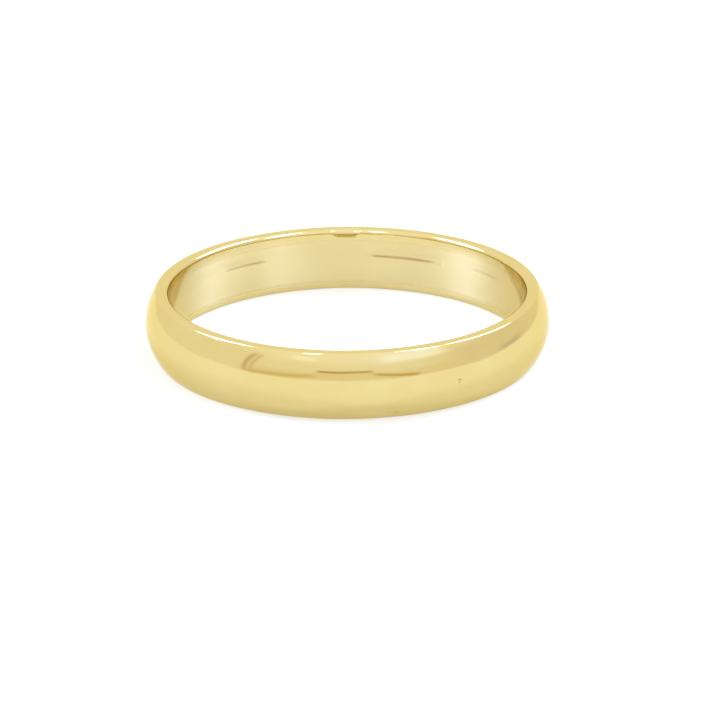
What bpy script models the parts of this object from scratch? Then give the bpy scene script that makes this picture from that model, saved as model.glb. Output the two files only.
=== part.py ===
"""A plain D-section wedding band, made as a bench jeweller makes one.

D-section gold wire is bent round to the finger size, its two ends are filed flat, and the
joint between them is filled with gold solder. So the ring is two pieces of metal: the bent
wire, and the thin wafer of solder that closes it.

The ring lies on its side face. +Z runs along the finger, z = 0 is the lower side face, and
the origin is the centre of the finger hole on that face. The soldered joint is at +X.
"""

import math

import bmesh
import bpy
from mathutils import Vector

MM = 0.001

# Driving dimensions
FINGER_DIAMETER = 16.5 * MM  # inside of the ring: a US size 6
BAND_WIDTH = 3.05 * MM  # along the finger
CROWN_THICKNESS = 1.10 * MM  # radial, in the middle of the domed face
SIDE_THICKNESS = 0.575 * MM  # radial, where the dome meets the flat sides
SHOULDER_RADIUS = 0.07 * MM  # the softened corner between dome and side face
FINGER_EDGE_RADIUS = 0.20 * MM  # the eased corner between side face and finger hole
SOLDER_THICKNESS = 0.12 * MM  # the film of solder, measured round the ring
SOLDER_CLEARANCE = 0.008 * MM  # on each side of the solder, so that the solids don't touch

# Facets
BAND_STEPS = 120
SOLDER_STEPS = 1
DOME_STEPS = 14
CORNER_STEPS = 4

# Sizes that follow from them
FINGER_RADIUS = FINGER_DIAMETER / 2
CROWN_RADIUS = FINGER_RADIUS + CROWN_THICKNESS
HALF_WIDTH = BAND_WIDTH / 2
DOME_RISE = CROWN_THICKNESS - SIDE_THICKNESS
DOME_RADIUS = (HALF_WIDTH**2 + DOME_RISE**2) / (2 * DOME_RISE)
MIDDLE_RADIUS = FINGER_RADIUS + CROWN_THICKNESS / 2
SOLDER_ANGLE = SOLDER_THICKNESS / MIDDLE_RADIUS
JOINT_ANGLE = (SOLDER_THICKNESS + 2 * SOLDER_CLEARANCE) / MIDDLE_RADIUS

FULL_TURN = 2 * math.pi
QUARTER_TURN = math.pi / 2


def arc(centre, radius, start, end, steps):
    """Points (distance from the ring's axis, height) on an arc, its two ends included."""
    angles = [start + (end - start) * i / steps for i in range(steps + 1)]
    return [(centre[0] + radius * math.cos(a), centre[1] + radius * math.sin(a)) for a in angles]


def wire_section():
    """The wire's D-shaped outline, anticlockwise, as (distance from the axis, height) points.

    One large arc is the domed face. A small arc at each shoulder is tangent to the dome and to
    the flat side, and another eases each edge of the finger hole. The straight runs between the
    arcs are the two sides and the flat inside.
    """
    dome_centre = (CROWN_RADIUS - DOME_RADIUS, HALF_WIDTH)
    shoulder_offset_z = HALF_WIDTH - SHOULDER_RADIUS
    shoulder_offset_r = math.sqrt((DOME_RADIUS - SHOULDER_RADIUS) ** 2 - shoulder_offset_z**2)
    shoulder_r = dome_centre[0] + shoulder_offset_r
    dome_end = math.atan2(shoulder_offset_z, shoulder_offset_r)
    edge_r = FINGER_RADIUS + FINGER_EDGE_RADIUS
    low_shoulder = (shoulder_r, SHOULDER_RADIUS)
    high_shoulder = (shoulder_r, BAND_WIDTH - SHOULDER_RADIUS)
    low_edge = (edge_r, FINGER_EDGE_RADIUS)
    high_edge = (edge_r, BAND_WIDTH - FINGER_EDGE_RADIUS)

    outline = arc(low_shoulder, SHOULDER_RADIUS, -QUARTER_TURN, -dome_end, CORNER_STEPS)
    outline += arc(dome_centre, DOME_RADIUS, -dome_end, dome_end, DOME_STEPS)[1:-1]
    outline += arc(high_shoulder, SHOULDER_RADIUS, dome_end, QUARTER_TURN, CORNER_STEPS)
    outline += arc(high_edge, FINGER_EDGE_RADIUS, QUARTER_TURN, 2 * QUARTER_TURN, CORNER_STEPS)
    outline += arc(low_edge, FINGER_EDGE_RADIUS, 2 * QUARTER_TURN, 3 * QUARTER_TURN, CORNER_STEPS)
    return outline


def metal(name, colour, roughness):
    """A polished metal."""
    material = bpy.data.materials.new(name)
    material.use_nodes = True
    shader = material.node_tree.nodes["Principled BSDF"]
    shader.inputs["Base Color"].default_value = (*colour, 1.0)
    shader.inputs["Metallic"].default_value = 1.0
    shader.inputs["Roughness"].default_value = roughness
    return material


def carry_section_round(name, start_angle, turn, steps, material):
    """A solid made by carrying the wire's section round the finger, from start_angle through turn."""
    bm = bmesh.new()
    radial = Vector((math.cos(start_angle), math.sin(start_angle), 0.0))
    corners = [bm.verts.new(radial * r + Vector((0.0, 0.0, z))) for r, z in wire_section()]
    section = bm.faces.new(corners)
    bmesh.ops.spin(
        bm,
        geom=[section, *section.edges, *section.verts],
        cent=(0.0, 0.0, 0.0),
        axis=(0.0, 0.0, 1.0),
        angle=turn,
        steps=steps,
        use_duplicate=False,
    )
    bmesh.ops.recalc_face_normals(bm, faces=bm.faces)
    mesh = bpy.data.meshes.new(name)
    bm.to_mesh(mesh)
    bm.free()
    mesh.materials.append(material)
    mesh.shade_smooth()
    mesh.set_sharp_from_angle(angle=math.radians(35))
    piece = bpy.data.objects.new(name, mesh)
    bpy.context.scene.collection.objects.link(piece)
    return piece


def build():
    for leftover in list(bpy.data.objects):
        bpy.data.objects.remove(leftover)
    yellow_gold = metal("polished_yellow_gold", (0.88, 0.72, 0.33), 0.08)
    gold_solder = metal("gold_solder", (0.86, 0.71, 0.36), 0.14)
    band = carry_section_round(
        "band", JOINT_ANGLE / 2, FULL_TURN - JOINT_ANGLE, BAND_STEPS, yellow_gold
    )
    solder_joint = carry_section_round(
        "solder_joint", -SOLDER_ANGLE / 2, SOLDER_ANGLE, SOLDER_STEPS, gold_solder
    )
    ring = bpy.data.objects.new("wedding_band", None)
    bpy.context.scene.collection.objects.link(ring)
    band.parent = ring
    solder_joint.parent = ring


build()
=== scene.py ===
# %% [markdown]
# # A plain gold wedding band
#
# The ring is a length of D-section gold wire, bent round to the finger's size and closed with gold
# solder. It lies on its side on a white table in a light tent, and the picture of a polished ring is
# mostly a picture of what stands round it. So this lesson has two halves: two small pieces of metal
# with an exact shape and a gently worn finish, and a studio whose lamps, cards and dark gaps the
# metal mirrors.
#
# The frame comes first. It holds the same two pieces as plain solids. The ring's sizes are measured
# on them, so that the fine surfaces lie where the solids do.

# %% Load the frame
import math

import bpy
import numpy as np
from mathutils import Matrix, Vector


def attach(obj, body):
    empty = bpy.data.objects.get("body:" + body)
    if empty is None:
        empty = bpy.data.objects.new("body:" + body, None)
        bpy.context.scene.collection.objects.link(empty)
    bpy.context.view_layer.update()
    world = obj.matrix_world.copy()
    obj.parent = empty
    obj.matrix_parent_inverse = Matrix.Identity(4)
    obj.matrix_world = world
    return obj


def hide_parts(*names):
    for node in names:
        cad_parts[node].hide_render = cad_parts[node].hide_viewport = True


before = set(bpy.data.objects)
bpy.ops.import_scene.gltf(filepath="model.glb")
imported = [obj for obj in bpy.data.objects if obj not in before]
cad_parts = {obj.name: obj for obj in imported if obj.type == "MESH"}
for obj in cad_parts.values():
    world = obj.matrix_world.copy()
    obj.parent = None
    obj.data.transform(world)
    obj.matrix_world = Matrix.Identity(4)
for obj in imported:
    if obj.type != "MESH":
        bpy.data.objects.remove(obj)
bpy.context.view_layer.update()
MM = 0.001
TINY = 0.001 * MM

# %% [markdown]
# ## Measuring the wire
#
# A jeweller would put calipers on the ring. Here the solids' corners are read as one array, turned
# into distance from the ring's axis, angle round it, and height. The finger hole, the crown, the
# width, the flat part of the side face and the gap for the solder all follow from those three.
# Only the small shoulder radius is stated, because facets are too coarse to measure it on.


# %% Measure the solids
def cylindrical_corners(node):
    """A solid's corners as three arrays: distance from the Z axis, angle round it, height."""
    corners = np.empty(len(node.data.vertices) * 3, np.float32)
    node.data.vertices.foreach_get("co", corners)
    x, y, z = corners.reshape(-1, 3).astype(float).T
    return np.hypot(x, y), np.arctan2(y, x), z


SHOULDER_RADIUS = 0.07 * MM

radius, angle, height = cylindrical_corners(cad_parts["band"])
finger_radius = radius.min()
crown_radius = radius.max()
band_width = height.max()
on_side_face = height < TINY
flat_inner = radius[on_side_face].min()
flat_outer = radius[on_side_face].max()
edge_radius = flat_inner - finger_radius
joint_half_angle = np.abs(angle).min()
print(f"finger hole {2 * finger_radius / MM:.2f} mm, outside {2 * crown_radius / MM:.2f} mm")
print(f"width {band_width / MM:.2f} mm, side face {(flat_outer - flat_inner) / MM:.2f} mm wide")
print(f"solder fills {2 * math.degrees(joint_half_angle):.2f} degrees")

# %% [markdown]
# ## The wire's section
#
# The section is a D lying on its back: flat against the finger, domed outside. Four kinds of curve
# make it. One large arc is the dome. A small arc softens each shoulder, where the dome turns into
# the flat side, and it has to be tangent to both, which fixes the dome's radius. Another arc eases
# each edge of the finger hole, so that the ring slides over a knuckle. Straight runs join them.
#
# A curve object with a bevel profile could do this too. Points from a formula are as short, and they
# put close rows of points where the curve is tight, which is where a mirror finish shows facets. The
# flat inside gets many rows as well, because shallow marks are pressed into it later.


# %% Draw the section
SHOULDER_ROWS = 6
DOME_ROWS = 90
SIDE_ROWS = 4
EASING_ROWS = 9
INSIDE_ROWS = 44


def arc(centre, size, start, end, steps):
    """Points on an arc: centre + size * (cos a, sin a), for steps angles from start up to end."""
    a = np.linspace(start, end, steps, endpoint=False)
    return np.column_stack([centre[0] + size * np.cos(a), centre[1] + size * np.sin(a)])


def line(start, end, steps):
    """Points on a straight run: start + t * (end - start), for t from 0 up to 1."""
    t = np.linspace(0, 1, steps, endpoint=False)[:, None]
    return np.array(start) + t * (np.array(end) - np.array(start))


def wire_section():
    """The D outline, anticlockwise, as rows of (distance from the axis, height).

    The dome's radius R makes the shoulder's arc, of radius s, touch it from inside:
    (R - s)^2 = (half width - s)^2 + (R - sink)^2, where sink is how far the shoulder's centre
    lies inside the crown. Both squares of R cancel, which leaves R alone.
    """
    half = band_width / 2
    s = SHOULDER_RADIUS
    sink = crown_radius - flat_outer
    dome_radius = ((half - s) ** 2 + sink**2 - s**2) / (2 * (sink - s))
    dome_centre = (crown_radius - dome_radius, half)
    dome_end = math.atan2(half - s, flat_outer - dome_centre[0])
    quarter = math.pi / 2
    top = band_width
    e = edge_radius
    inside = finger_radius
    return np.vstack([
        arc((flat_outer, s), s, -quarter, -dome_end, SHOULDER_ROWS),
        arc(dome_centre, dome_radius, -dome_end, dome_end, DOME_ROWS),
        arc((flat_outer, top - s), s, dome_end, quarter, SHOULDER_ROWS),
        line((flat_outer, top), (flat_inner, top), SIDE_ROWS),
        arc((flat_inner, top - e), e, quarter, 2 * quarter, EASING_ROWS),
        line((inside, top - e), (inside, e), INSIDE_ROWS),
        arc((flat_inner, e), e, 2 * quarter, 3 * quarter, EASING_ROWS),
        line((flat_inner, 0.0), (flat_outer, 0.0), SIDE_ROWS),
    ])


section = wire_section()
following = np.roll(section, -1, axis=0)
section_steps = np.hypot(*(following - section).T)
flat_inside = section[:, 0] < finger_radius + TINY
# How far round the section the middle of the flat inside is, to within one row
inner_middle = np.cumsum(section_steps)[flat_inside].mean()
print(f"section: {len(section)} points, {section_steps.sum() / MM:.2f} mm round")
print(f"middle of the inside: {inner_middle / MM:.2f} mm round")

# %% [markdown]
# ## Small signs of wear, as shape
#
# A polishing wheel never leaves a perfect surface. Hand work leaves waves a few micrometres high and
# some millimetres long. They can't be felt, but they bend every reflected line. Wear adds a pit where
# the ring once hit something hard, and a few nicks along the lower edge of the dome. The inside has
# long shallow marks, such as a sizing mandrel leaves. They are only hundredths of a millimetre deep,
# but each tilts the wall enough to mirror the dark opposite wall instead of the table.
#
# These are real shape, so they are worked out here as a height above the perfect surface and moved
# into the mesh. The much finer scratches are left to the material, further down.


# %% Waves, pits and marks
MICROMETRE = 1e-6
WAVES = [
    # height in micrometres, waves round the ring, waves round the section, phase
    (3.0, 7, 1, 0.4),
    (2.2, 11, 2, 2.1),
    (1.6, 17, 1, 4.0),
    (1.0, 26, 3, 1.2),
    (0.5, 43, 2, 5.1),
]
DENTS = [
    # angle in degrees, height above the table, half width at the finger hole, half height, depth
    (-58.2, 1.42 * MM, 0.070 * MM, 0.070 * MM, 0.085 * MM),
    (-76.5, 0.22 * MM, 0.060 * MM, 0.060 * MM, 0.050 * MM),
    (-79.0, 0.26 * MM, 0.090 * MM, 0.050 * MM, 0.035 * MM),
    (-103.0, 0.24 * MM, 0.060 * MM, 0.050 * MM, 0.030 * MM),
    (74.0, 2.35 * MM, 0.060 * MM, 0.050 * MM, 0.018 * MM),
    (161.0, 0.80 * MM, 0.050 * MM, 0.070 * MM, 0.020 * MM),
]
INNER_MARKS = [
    # the same, on the inside
    (90.5, 3.02 * MM, 0.62 * MM, 0.28 * MM, 0.042 * MM),
    (70.0, 1.86 * MM, 1.85 * MM, 0.15 * MM, 0.034 * MM),
    (127.0, 1.92 * MM, 1.35 * MM, 0.14 * MM, 0.030 * MM),
    (37.0, 1.98 * MM, 1.10 * MM, 0.10 * MM, 0.022 * MM),
    (149.0, 1.78 * MM, 1.00 * MM, 0.10 * MM, 0.020 * MM),
    (56.5, 1.76 * MM, 0.14 * MM, 0.12 * MM, 0.020 * MM),
]


def wear_height(angles, along_section, heights, outside, inside):
    """Height of the worn surface above the perfect one, for every point of a grid.

    A sum of waves, each height * sin(m * angle + n * turn round the section + phase), less a bell
    shape for each mark, depth * exp(-(u/width)^8 - (v/height)^2), on the side that has it.
    """
    turn = 2 * math.pi * along_section
    worn = np.zeros(np.broadcast(angles, turn).shape)
    for size, m, n, phase in WAVES:
        worn += size * MICROMETRE * np.sin(m * angles + n * turn + phase)
    for marks, side in ((DENTS, outside), (INNER_MARKS, inside)):
        for degrees, z, half_width, half_height, depth in marks:
            around = (angles - math.radians(degrees) + math.pi) % (2 * math.pi) - math.pi
            u = around * finger_radius / half_width
            v = (heights - z) / half_height
            worn -= depth * np.exp(-(u**8) - v**2) * side
    return worn


print(f"wear: {len(WAVES)} waves, {len(DENTS)} dents outside, {len(INNER_MARKS)} marks inside")

# %% [markdown]
# ## Where the columns of points stand
#
# Bending the wire is a surface of two parameters: the angle round the finger and the place on the
# section. The angles are evenly spaced, with extra columns of points at the dents outside, so that
# a pit a tenth of a millimetre wide still has a shape. Even columns are left out there, so that no
# two columns nearly meet.


# %% Choose the angles
GRID_COLUMNS = 480
DENT_COLUMNS = 13
DENT_SPAN = 0.16 * MM
SEAM_COLUMNS = 7


def band_angles():
    """Angles of the band's columns: even ones from joint to joint, and close ones at each dent."""
    even = np.linspace(joint_half_angle, 2 * math.pi - joint_half_angle, GRID_COLUMNS)
    reach = DENT_SPAN / crown_radius
    close = [
        math.radians(dent[0]) % (2 * math.pi) + np.linspace(-reach, reach, DENT_COLUMNS)
        for dent in DENTS
    ]
    away = np.min([np.abs(even - c[DENT_COLUMNS // 2]) for c in close], axis=0) > reach
    away[[0, -1]] = True
    return np.sort(np.concatenate([even[away], *close]))


angles_of_band = band_angles()
angles_of_seam = np.linspace(-joint_half_angle, joint_half_angle, SEAM_COLUMNS)
print(f"columns: {len(angles_of_band)} for the band, {len(angles_of_seam)} for the seam")

# %% [markdown]
# ## Carrying the section round the finger
#
# The section is turned to each angle, and the wear is added along its outward normal. Each end is
# closed with one flat face. No point may stand above or below the side faces, because a ring's sides
# are rubbed flat on a plate after the joint is soldered.
#
# The mesh also gets its own map, in millimetres along the wire and round its section. Polishing
# lines follow the wire, so the finish needs a direction that follows it too. And each face gets the
# number of its finish: the dome, the inside, or the sides with their eased edges.


# %% The surface and its map
DOME_FINISH, INSIDE_FINISH, EDGE_FINISH = 0, 1, 2
EDGE_DEPTH = 0.036 * MM
SHARP_ANGLE = 40


def finish_of_rows():
    """The finish of each row of the section.

    A row is inside where it is nearer the axis than the flat side. It is an edge where it is
    within edge_radius of a side face on the inside, or within EDGE_DEPTH of it on the outside.
    """
    inside = section[:, 0] < flat_inner
    from_middle = np.abs(section[:, 1] - band_width / 2)
    easing = from_middle > band_width / 2 - np.where(inside, edge_radius, EDGE_DEPTH)
    return np.where(easing, EDGE_FINISH, np.where(inside, INSIDE_FINISH, DOME_FINISH))


def wire_uv(angles, travelled):
    """The map of every face corner, in millimetres.

    u = angle * crown radius, and v = distance travelled round the section. A cut end has its
    own flat section for a map.
    """
    shape = (len(angles), len(travelled))
    along = np.broadcast_to((angles * crown_radius / MM)[:, None], shape)
    across = np.broadcast_to((travelled / MM)[None, :], shape)
    both = np.stack([along, across], axis=-1)
    corners = [both[:-1, :-1], both[1:, :-1], both[1:, 1:], both[:-1, 1:]]
    side_uv = np.stack(corners, axis=2).reshape(-1, 2)
    cap_uv = np.tile(section / MM, (2, 1))
    return np.concatenate([side_uv, cap_uv]).astype(np.float32).ravel()


def carry_round(name, angles):
    """A closed mesh: point (i, k) is the section's point k, plus its wear, turned to angle i.

    In cylindrical terms r = section r + wear * normal r, and z likewise, kept between the side
    faces. Then x = r cos(angle) and y = r sin(angle). The normal is the section's tangent turned
    a quarter turn outwards.
    """
    tangent = np.roll(section, -1, axis=0) - np.roll(section, 1, axis=0)
    tangent /= np.hypot(*tangent.T)[:, None]
    travelled = np.concatenate([[0.0], np.cumsum(section_steps)])
    place = travelled[:-1] / travelled[-1]
    outside = np.clip((section[:, 0] - flat_inner) / (flat_outer - flat_inner), 0, 1)
    inside = (section[:, 0] < flat_inner).astype(float)
    worn = wear_height(angles[:, None], place[None, :], section[None, :, 1], outside, inside)
    r = section[None, :, 0] + worn * tangent[None, :, 1]
    z = np.clip(section[None, :, 1] - worn * tangent[None, :, 0], 0.0, band_width)
    points = np.stack([r * np.cos(angles)[:, None], r * np.sin(angles)[:, None], z], axis=-1)

    columns, rows = r.shape
    number = np.arange(columns * rows).reshape(columns, rows)
    upper = np.roll(number, -1, axis=1)
    quads = np.stack([number[:-1], number[1:], upper[1:], upper[:-1]], axis=-1).reshape(-1, 4)
    caps = [number[0].tolist(), number[-1][::-1].tolist()]
    mesh = bpy.data.meshes.new(name)
    mesh.from_pydata(points.reshape(-1, 3), [], quads.tolist() + caps)

    wire_map = mesh.uv_layers.new(name="wire")
    wire_map.data.foreach_set("uv", wire_uv(angles, travelled))
    mesh.shade_smooth()
    mesh.set_sharp_from_angle(angle=math.radians(SHARP_ANGLE))
    mesh.validate()
    piece = bpy.data.objects.new(name, mesh)
    bpy.context.scene.collection.objects.link(piece)
    finish = np.full(len(mesh.polygons), DOME_FINISH, np.int32)
    finish[: len(quads)] = np.tile(finish_of_rows(), columns - 1)
    mesh.polygons.foreach_set("material_index", finish)
    triangles = sum(len(p.vertices) - 2 for p in mesh.polygons)
    print(f"{name}: {columns} columns of {rows} points, {triangles} triangles")
    return piece


band = carry_round("polished_band", angles_of_band)
seam = carry_round("solder_seam", angles_of_seam)

# %% [markdown]
# ## Shader maths that reads as maths
#
# A material is a network of nodes. Wiring sums by hand hides the idea, so one small class wraps a
# node's output and gives it Python's operators. `1 - mask * 0.3` then adds the two Math nodes that it
# says. Any other node comes from one method, which sets its options before its sockets, because some
# options change which sockets a node has.


# %% The shading bench
class Wire:
    """One output of a node. Python's operators on it add Math nodes to its tree."""

    def __init__(self, bench, socket):
        self.bench = bench
        self.socket = socket

    def out(self, name):
        """Another output of the same node."""
        return Wire(self.bench, self.socket.node.outputs[name])

    def __add__(self, other):
        return self.bench.math("ADD", self, other)

    def __radd__(self, other):
        return self.bench.math("ADD", other, self)

    def __sub__(self, other):
        return self.bench.math("SUBTRACT", self, other)

    def __rsub__(self, other):
        return self.bench.math("SUBTRACT", other, self)

    def __mul__(self, other):
        return self.bench.math("MULTIPLY", self, other)

    def __rmul__(self, other):
        return self.bench.math("MULTIPLY", other, self)

    def __abs__(self):
        return self.bench.math("ABSOLUTE", self)


class Bench:
    """A node tree, and the one method that adds any node to it."""

    def __init__(self, tree):
        self.tree = tree

    def node(self, kind, settings=None, inputs=None, output=0):
        """Adds a node: its settings first, then its sockets' values or links. Gives one output."""
        made = self.tree.nodes.new(kind)
        for name, value in (settings or {}).items():
            setattr(made, name, value)
        for name, value in (inputs or {}).items():
            if isinstance(value, Wire):
                self.tree.links.new(value.socket, made.inputs[name])
            else:
                made.inputs[name].default_value = value
        return Wire(self, made.outputs[output]) if made.outputs else None

    def math(self, operation, *values):
        """A Math node on values or wires, in the order that the node takes them."""
        return self.node("ShaderNodeMath", {"operation": operation}, dict(enumerate(values)))

    def blend(self, factor, first, second):
        """A colour that turns from first into second as factor goes from 0 to 1."""
        settings = {"data_type": "RGBA"}
        return self.node("ShaderNodeMix", settings, {0: factor, 6: first, 7: second}, output=2)

    def fade(self, value, start, end):
        """0 before start, 1 after end, and a smooth step between them. start may be the larger."""
        inputs = {"Value": value, "From Min": start, "From Max": end}
        return self.node("ShaderNodeMapRange", {"interpolation_type": "SMOOTHSTEP"}, inputs)


def colour(red, green, blue):
    """A colour for a node's socket."""
    return (red, green, blue, 1.0)


print("shading bench ready, white is", colour(1.0, 1.0, 1.0))

# %% [markdown]
# ## Scratches
#
# Three things keep a worn ring from looking like a computer's: the last polish leaves very fine
# lines along the wire, wear adds short scratches in every direction, and skin leaves a thin uneven
# film that dulls it in patches. Lines and scratches are far finer than the mesh, so they are a bump.
#
# A scratch could be painted on an image. Stretched noise needs no image, and never repeats.


# %% A mask of scratches
SCRATCHES = [
    # turn in degrees, length for its width, how fine, seed
    (8, 14.0, 16.0, 3.0),
    (63, 10.0, 20.0, 11.0),
    (-38, 12.0, 18.0, 23.0),
]
PEAKS = (0.70, 0.78)
LENGTHS = (0.45, 0.62)


def scratches(bench, place, turn, stretch, size, seed):
    """A mask of thin parallel scratches: noise on the wire's map, turned and then stretched.

    Noise that varies fast across a direction and slowly along it makes streaks. Only its
    highest peaks are kept, and a second, soft noise breaks them into short lengths.
    """
    mapping = {"Vector": place, "Location": (seed, seed / 2, 0.0)}
    mapping["Rotation"] = (0.0, 0.0, math.radians(turn))
    mapping["Scale"] = (size / stretch, size, 1.0)
    turned = bench.node("ShaderNodeMapping", None, mapping)
    flat = {"noise_dimensions": "2D"}
    streaks = bench.node("ShaderNodeTexNoise", flat, {"Vector": turned, "Scale": 1.0, "Detail": 2.0})
    patches = bench.node("ShaderNodeTexNoise", flat, {"Vector": place, "Scale": 0.6, "Detail": 1.0})
    return bench.fade(streaks, *PEAKS) * bench.fade(patches, *LENGTHS)


print(f"scratches: {len(SCRATCHES)} directions")

# %% [markdown]
# ## Polished gold
#
# Gold has no colour of its own below its reflection: the metal tints what it mirrors. So the base
# colour sets the tint, and roughness sets how sharp the mirror is. The skin's film only changes
# roughness and, very slightly, the tint.
#
# The ring has three finishes. The dome has a high polish. The sides and the eased edges are rubbed
# finer still, so that a lamp shows in them as a thin line. The inside is polished with a felt stick
# turned round and round, and those lines smear each lamp across themselves, from the table to the
# roof, into an upright strip. That is a second shader, very rough in one direction only, and a Mix
# Shader gives it a share of the inside that fades out towards the edges. One anisotropic shader
# could make the strips alone, but the inside still has to mirror sharply too.

# %% Colours and polish
GOLD = colour(0.700, 0.567, 0.237)
GOLD_PALE = colour(0.708, 0.583, 0.263)
SOLDER = colour(0.704, 0.583, 0.263)
SOLDER_PALE = colour(0.708, 0.596, 0.283)
GRAZING_TINT = colour(0.93, 0.86, 0.62)
DOME_POLISH = 0.075
SOLDER_POLISH = DOME_POLISH * 1.3
INSIDE_POLISH = 0.09
EDGE_POLISH = 0.02
FILM_SIZE = 420.0
FILM_EDGES = (0.42, 0.70)
FILM_DULLS = 0.035
SCRATCH_DULLS = 0.05
LINE_STRETCH = (0.35, 38.0, 1.0)
LINE_HEIGHT = 0.10 * MICROMETRE
SCRATCH_DEPTH = 0.12 * MICROMETRE
SMEARED_SHARE = 0.30
SMEARED_HALF = 1.15 * MM
SMEARED_FADE = 0.55 * MM
SMEAR_COLOUR = colour(0.97, 0.85, 0.54)
SMEAR_ROUGHNESS = 0.56
SMEAR_TURN = 0.25
print(f"polish: dome {DOME_POLISH}, inside {INSIDE_POLISH}, edges {EDGE_POLISH}")

# %% [markdown]
# ## The metal's network
#
# One function makes every finish, so that gold and solder differ only in what they are given. The
# smeared shader takes the same sockets as the plain one, with three numbers and a colour changed.


# %% Make the metal
def polishing_lines(bench, place):
    """Noise drawn out along the wire: slow along it, fast across it."""
    drawn = bench.node("ShaderNodeMapping", None, {"Vector": place, "Scale": LINE_STRETCH})
    inputs = {"Vector": drawn, "Scale": 1.0, "Detail": 4.0}
    return bench.node("ShaderNodeTexNoise", {"noise_dimensions": "2D"}, inputs)


def smeared_share(bench, place):
    """SMEARED_SHARE in the middle of the inside, fading to 0 towards both of its edges."""
    across = bench.node("ShaderNodeSeparateXYZ", None, {"Vector": place}).out("Y")
    from_middle = abs(across - inner_middle / MM)
    near = (SMEARED_HALF - SMEARED_FADE / 2) / MM
    far = (SMEARED_HALF + SMEARED_FADE / 2) / MM
    return SMEARED_SHARE * bench.fade(from_middle, far, near)


def polished_metal(name, rich, pale, polish, smeared=False):
    """A polished metal with a skin film, polishing lines and fine scratches.

    smeared adds the share of the inside that smears its reflections upright.
    """
    material = bpy.data.materials.new(name)
    material.use_nodes = True
    material.node_tree.nodes.clear()
    bench = Bench(material.node_tree)
    place = bench.node("ShaderNodeUVMap", {"uv_map": "wire"})
    solid = bench.node("ShaderNodeTexCoord", output="Object")

    clouds = {"Vector": solid, "Scale": FILM_SIZE, "Detail": 3.0}
    film = bench.fade(bench.node("ShaderNodeTexNoise", None, clouds), *FILM_EDGES)
    worn = sum(scratches(bench, place, *row) for row in SCRATCHES)
    height = polishing_lines(bench, place) * LINE_HEIGHT - worn * SCRATCH_DEPTH
    bump = bench.node("ShaderNodeBump", None, {"Height": height, "Distance": 1.0, "Strength": 1.0})
    metal = {
        "Base Color": bench.blend(film, rich, pale),
        "Metallic": 1.0,
        "Specular Tint": GRAZING_TINT,
        "Roughness": polish + film * FILM_DULLS + worn * SCRATCH_DULLS,
        "Normal": bump,
    }
    shader = bench.node("ShaderNodeBsdfPrincipled", None, metal)
    if smeared:
        smear = {"Roughness": SMEAR_ROUGHNESS, "Anisotropic": 1.0, "Anisotropic Rotation": SMEAR_TURN}
        smear["Base Color"] = SMEAR_COLOUR
        upright = bench.node("ShaderNodeBsdfPrincipled", None, metal | smear)
        share = smeared_share(bench, place)
        shader = bench.node("ShaderNodeMixShader", None, {0: share, 1: shader, 2: upright})
    bench.node("ShaderNodeOutputMaterial", None, {"Surface": shader})
    print(f"{name}: {len(material.node_tree.nodes)} nodes")
    return material


# %% [markdown]
# ## Putting the finishes on
#
# The materials go on in the order of the finish numbers, first the dome's, then the inside's, then
# the edges'. The solder has the same three, a little paler and, on the dome, a little duller, so
# that the joint can just be made out.

# %% Finish both pieces
band.data.materials.append(polished_metal("yellow_gold", GOLD, GOLD_PALE, DOME_POLISH))
band.data.materials.append(polished_metal("inner_gold", GOLD, GOLD_PALE, INSIDE_POLISH, True))
band.data.materials.append(polished_metal("edge_gold", GOLD, GOLD_PALE, EDGE_POLISH))
seam.data.materials.append(polished_metal("gold_solder", SOLDER, SOLDER_PALE, SOLDER_POLISH))
seam.data.materials.append(polished_metal("inner_solder", SOLDER, SOLDER_PALE, INSIDE_POLISH, True))
seam.data.materials.append(polished_metal("edge_solder", SOLDER, SOLDER_PALE, EDGE_POLISH))

# %% [markdown]
# ## What each piece stands for
#
# The fine band and the fine seam take the place of the two plain solids. Nothing on a ring moves, so
# both ride on the one body that the frame has.

# %% Tie the pieces to the frame
for piece, node_name, slot_name in (
    (band, "band", "yellow_gold"),
    (seam, "solder_joint", "gold_solder"),
):
    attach(piece, "root")
    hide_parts(node_name)

# %% [markdown]
# ## The table
#
# The ring lies on a white table, which fills the lower half of everything that the metal mirrors. It
# is a sheet of white acrylic lit from below as well as from the tent, so it glows evenly and the
# ring's shadow on it is only a faint one. Diffuse paint alone would put a dark band into the lower
# part of the dome. The paint is a little warm, to answer the bluish lamps.

# %% Make the table
TABLE_HALF = 0.6
TABLE_PAINT = colour(0.28, 0.262, 0.195)
TABLE_GLOW = 0.65
table_mesh = bpy.data.meshes.new("table")
table_corners = [
    (-TABLE_HALF, -TABLE_HALF, 0.0),
    (TABLE_HALF, -TABLE_HALF, 0.0),
    (TABLE_HALF, TABLE_HALF, 0.0),
    (-TABLE_HALF, TABLE_HALF, 0.0),
]
table_mesh.from_pydata(table_corners, [], [(0, 1, 2, 3)])
table = bpy.data.objects.new("table", table_mesh)
bpy.context.scene.collection.objects.link(table)
white = bpy.data.materials.new("white_table")
white.use_nodes = True
white.node_tree.nodes.clear()
bench = Bench(white.node_tree)
paint = bench.node("ShaderNodeBsdfDiffuse", None, {"Color": TABLE_PAINT})
lit = bench.node("ShaderNodeEmission", None, {"Color": colour(1.0, 1.0, 1.0), "Strength": TABLE_GLOW})
both = bench.node("ShaderNodeAddShader", None, {0: paint, 1: lit})
bench.node("ShaderNodeOutputMaterial", None, {"Surface": both})
table_mesh.materials.append(white)
print(f"table: {2 * TABLE_HALF} m square, glow {TABLE_GLOW}")

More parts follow.
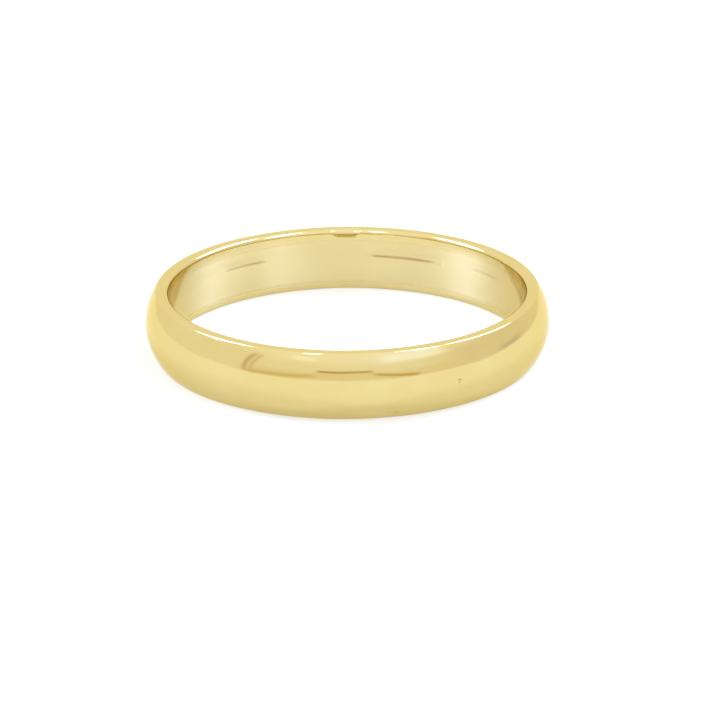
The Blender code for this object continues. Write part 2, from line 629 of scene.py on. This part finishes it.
# %% [markdown]
# ## The light tent
#
# Jewellery is shot inside a tent of white cloth, lit from outside. The cloth is bright overhead and
# a little darker and warmer towards the table. Everything that interrupts it shows in the metal:
# the brighter panes, the seam of the cloth, the gap for the lens, and four bare lamps.
#
# The whole tent is one world shader, because card and lamp objects would show in other views. A
# direction is turned into two angles: the azimuth, from the camera's side of the ring round to the
# right, and the elevation above the table. Each card, pane, gap or lamp is a soft rectangle in those
# two angles.

# %% Angles of the tent
world = bpy.data.worlds.new("light_tent")
world.use_nodes = True
world.node_tree.nodes.clear()
bpy.context.scene.world = world
tent = Bench(world.node_tree)
looking = tent.node("ShaderNodeTexCoord", output="Generated")
looking_x = tent.node("ShaderNodeSeparateXYZ", None, {"Vector": looking})
looking_y = looking_x.out("Y")
looking_z = looking_x.out("Z")
azimuth = tent.math("ARCTAN2", looking_x, 0 - looking_y) * math.degrees(1)
elevation = tent.math("ARCSINE", looking_z) * math.degrees(1)
print(f"angles of the tent: {len(world.node_tree.nodes)} nodes")


def patch(at, half, soft, lean):
    """A mask of a soft rectangle round the direction at, in degrees of azimuth and elevation.

    The azimuth is taken the short way round. lean is how many degrees the patch rises for each
    degree to the right. Each pair of edges fades over soft degrees.
    """
    u = tent.math("WRAP", azimuth - at[0], 180.0, -180.0)
    v = elevation - at[1] - u * lean
    across = tent.fade(abs(u), half[0] + soft[0] / 2, half[0] - soft[0] / 2)
    up = tent.fade(abs(v), half[1] + soft[1] / 2, half[1] - soft[1] / 2)
    return across * up


# %% [markdown]
# ## Cloth, cards and lamps
#
# The cloth comes first, as a row of fades from the table up to the roof. The patches go over it in
# the order of the list.
#
# The lamps are many times brighter than the cloth. They stand high, so the dome's near side hardly
# shows them, but the polishing lines inside the ring draw each one out into an upright strip. They
# are bluish because gold turns a white lamp yellow, and the strips should come out pale.

# %% Hang the cloth, the cards and the lamps
CLOTH_AT_TABLE = (1.116, 1.080, 1.020)
CLOTH = [
    # where the fade to it starts and ends, in degrees of elevation, and the colour
    (2, 22, (1.140, 1.140, 1.164)),
    (22, 45, (1.236, 1.272, 1.404)),
    (45, 80, (1.300, 1.320, 1.400)),
]
BELOW_TABLE = (1.2, 1.2, 1.2)
PATCHES = [
    # direction, half size and softness in degrees, lean, colour
    # large cards at the left, at the right and in front
    ((-95, 12), (40, 30), (40, 30), 0.0, (1.122, 1.110, 1.080)),
    ((96, 10), (38, 26), (50, 26), 0.0, (1.020, 0.972, 0.948)),
    ((0, 6), (60, 8), (20, 8), 0.0, (1.068, 1.014, 0.912)),
    # gaps, seams and the frame of the tent, which show as darker marks
    ((103, 4), (9, 3.0), (9, 5), 0.0, (0.816, 0.768, 0.864)),
    ((-1.5, 17), (15.5, 2.0), (1.5, 3), 0.0, (0.672, 0.480, 0.144)),
    ((27, 7), (12, 2.2), (4, 3.5), -0.36, (0.720, 0.516, 0.156)),
    ((-38, 5), (20, 3.0), (8, 5), 0.12, (0.912, 0.768, 0.540)),
    ((-58.5, 19), (1.5, 16), (1.5, 8), 0.0, (0.792, 0.684, 0.600)),
    ((-54.5, 19), (1.0, 16), (1.0, 8), 0.0, (0.912, 0.792, 0.672)),
    # brighter panes
    ((-28, 41), (8, 4), (7, 5), 0.0, (1.320, 1.440, 1.800)),
    ((42, 40), (20, 8), (16, 9), 0.0, (1.320, 1.476, 2.040)),
    # lamps
    ((-103, 47), (10, 13), (5, 6), 0.0, (14.5, 18.0, 30.0)),
    ((120, 47), (10, 13), (5, 6), 0.0, (14.5, 18.0, 30.0)),
    ((69, 63), (8, 9), (5, 6), 0.0, (20.0, 23.5, 37.0)),
    ((-29, 62), (6, 7), (4, 5), 0.0, (8.0, 9.0, 13.0)),
]
cloth = colour(*CLOTH_AT_TABLE)
for start, end, tint in CLOTH:
    cloth = tent.blend(tent.fade(elevation, start, end), cloth, colour(*tint))
for at, half, soft, lean, tint in PATCHES:
    cloth = tent.blend(patch(at, half, soft, lean), cloth, colour(*tint))
cloth = tent.blend(tent.fade(elevation, 1.0, -1.0), cloth, colour(*BELOW_TABLE))
glow = tent.node("ShaderNodeBackground", None, {"Color": cloth, "Strength": 1.0})
tent.node("ShaderNodeOutputWorld", None, {"Surface": glow})
print(f"tent: {len(PATCHES)} patches, {len(world.node_tree.nodes)} nodes")

# %% [markdown]
# ## The camera
#
# A long lens flattens a small thing the way a product picture does. It stands 127 mm away, 20.7
# degrees above the table, and points a little right of the ring and below it, which puts the ring
# up and to the left of the frame's middle. A real tripod is never quite level, hence the roll.

# %% Set up the camera
CAMERA_ELEVATION = math.radians(20.67)
CAMERA_DISTANCE = 126.6 * MM
CAMERA_ROLL = math.radians(-0.318)
AIM_RIGHT = 0.578 * MM
AIM_DOWN = 0.574 * MM
LENS = 135.8

camera_data = bpy.data.cameras.new("camera")
camera_data.lens = LENS
camera_data.sensor_width = 36.0
camera_data.clip_start = 0.01
camera_data.clip_end = 5.0
camera = bpy.data.objects.new("camera", camera_data)
bpy.context.scene.collection.objects.link(camera)
bpy.context.scene.camera = camera
sine, cosine = math.sin(CAMERA_ELEVATION), math.cos(CAMERA_ELEVATION)
stand = Vector((0.0, -cosine, sine)) * CAMERA_DISTANCE
aim = Vector((AIM_RIGHT, 0.0, 0.0)) - Vector((0.0, sine, cosine)) * AIM_DOWN
forward = (aim - stand).normalized()
level_right = forward.cross(Vector((0.0, 0.0, 1.0))).normalized()
level_up = level_right.cross(forward)
right = level_right * math.cos(CAMERA_ROLL) + level_up * math.sin(CAMERA_ROLL)
up = right.cross(forward)
rotation = Matrix((right, up, -forward)).transposed()
camera.matrix_world = Matrix.Translation(stand) @ rotation.to_4x4()
print(f"camera {stand.length / MM:.1f} mm away, {LENS} mm lens")

# %% [markdown]
# ## Finish
#
# White stays white with the Standard view. Ten glossy bounces are enough for the inside of the ring
# to mirror itself again and again.

# %% Finish
GLOSSY_BOUNCES = 10
bpy.context.scene.view_settings.view_transform = "Standard"
bpy.context.scene.cycles.glossy_bounces = GLOSSY_BOUNCES
